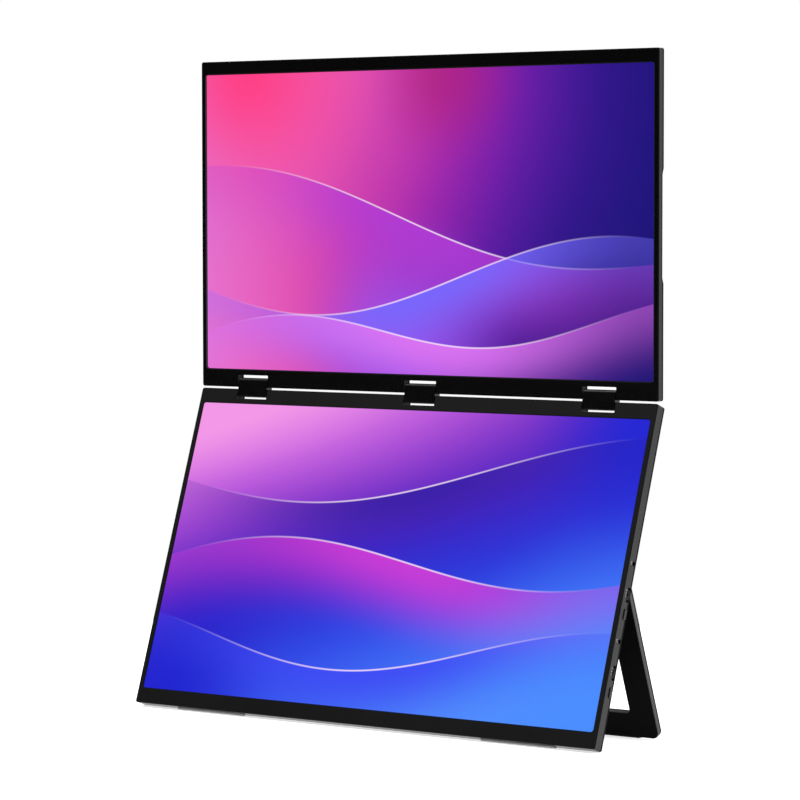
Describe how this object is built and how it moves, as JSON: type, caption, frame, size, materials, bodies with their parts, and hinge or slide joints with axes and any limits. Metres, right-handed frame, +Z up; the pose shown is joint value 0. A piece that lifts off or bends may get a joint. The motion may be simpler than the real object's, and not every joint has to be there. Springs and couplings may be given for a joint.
{
  "type": "dual portable monitor",
  "caption": "Folding portable monitor with stacked flat displays on hinge links, a frame stand behind the lower one and side sockets and controls for each picture.",
  "frame": {"origin": "middle of the outline's box on the floor, in the standing pose", "axes": "+X to the viewer's right, -Y out of the pictures, +Z up"},
  "size_m": [0.419, 0.0986, 0.5002],
  "materials": {
    "bezel_black": "fine satin",
    "screen": "anti-glare, shown lit",
    "light_guide": "white",
    "case_grey": "dark grey anodised",
    "sheet_metal": "plain sheet",
    "steel": "plain",
    "hinge_black": "black satin",
    "stand_black": "dark anodised with bright cut edges",
    "rubber": "matt",
    "circuit_board": "solder mask",
    "socket_black": "moulded",
    "socket_metal": "plated shell",
    "control_black": "moulded",
    "control_grey": "moulded"
  },
  "bodies": {
    "lower_display": {"lower_front_bezel": "bezel_black", "lower_lcd_panel": "screen", "lower_backlight": "light_guide", "lower_mid_frame": "case_grey", "lower_back_cover": "case_grey", "lower_hinge_bracket_left": "steel", "lower_hinge_bracket_middle": "steel", "lower_hinge_bracket_right": "steel", "lower_chassis": "sheet_metal", "driver_board_1": "circuit_board", "driver_board_2": "circuit_board", "socket_board": "circuit_board", "audio_jack_1": "socket_black", "data_socket_1": "socket_metal", "video_socket_1": "socket_metal", "wheel_switch_1": "socket_black", "button_switch_1": "socket_black", "audio_jack_2": "socket_black", "data_socket_2": "socket_metal", "video_socket_2": "socket_metal", "wheel_switch_2": "socket_black", "button_switch_2": "socket_black", "foot_left": "rubber", "stand_bracket_left": "hinge_black", "foot_right": "rubber", "stand_bracket_right": "hinge_black"},
    "hinge_links": {"hinge_link_left": "hinge_black", "lower_hinge_pin_left": "steel", "upper_hinge_pin_left": "steel", "hinge_link_middle": "hinge_black", "lower_hinge_pin_middle": "steel", "upper_hinge_pin_middle": "steel", "hinge_link_right": "hinge_black", "lower_hinge_pin_right": "steel", "upper_hinge_pin_right": "steel"},
    "upper_display": {"upper_front_bezel": "bezel_black", "upper_lcd_panel": "screen", "upper_backlight": "light_guide", "upper_mid_frame": "case_grey", "upper_back_cover": "case_grey", "upper_hinge_bracket_left": "steel", "upper_hinge_bracket_middle": "steel", "upper_hinge_bracket_right": "steel"},
    "stand": {"stand_frame": "stand_black", "stand_pin_left": "steel", "stand_pad_left": "rubber", "stand_pin_right": "steel", "stand_pad_right": "rubber"},
    "thumb_wheel_1": {"thumb_wheel_1": "control_black"},
    "thumb_wheel_2": {"thumb_wheel_2": "control_black"},
    "power_button_1": {"power_button_1": "control_grey"},
    "power_button_2": {"power_button_2": "control_grey"}
  },
  "joints": [
    {"name": "fold_lower", "type": "hinge", "parent": "lower_display", "child": "hinge_links", "pos_m": [-0.0004, 0.03278, 0.24029], "axis": [1, 0, 0], "range_deg": [-46, 78]},
    {"name": "fold_upper", "type": "hinge", "parent": "hinge_links", "child": "upper_display", "pos_m": [-0.0004, 0.0339, 0.25064], "axis": [1, 0, 0], "range_deg": [-63.5, 82.3]},
    {"name": "stand_tilt", "type": "hinge", "parent": "lower_display", "child": "stand", "pos_m": [-0.0004, 0.00035, 0.11296], "axis": [1, 0, 0], "range_deg": [-40.7, 49.3]},
    {"name": "wheel_rock_1", "type": "hinge", "parent": "lower_display", "child": "thumb_wheel_1", "pos_m": [0.2035, -0.00755, 0.10923], "axis": [0, -0.9502, 0.3115], "range_deg": [-20, 20], "stiffness_Nm_per_rad": 0.005},
    {"name": "button_press_1", "type": "slide", "parent": "lower_display", "child": "power_button_1", "axis": [-1, 0, 0], "range_m": [0, 0.0005], "stiffness_N_per_m": 400, "springref_m": -0.001},
    {"name": "wheel_rock_2", "type": "hinge", "parent": "lower_display", "child": "thumb_wheel_2", "pos_m": [0.2035, -0.02537, 0.05488], "axis": [0, -0.9502, 0.3115], "range_deg": [-20, 20], "stiffness_Nm_per_rad": 0.005},
    {"name": "button_press_2", "type": "slide", "parent": "lower_display", "child": "power_button_2", "axis": [-1, 0, 0], "range_m": [0, 0.0005], "stiffness_N_per_m": 400, "springref_m": -0.001}
  ]
}
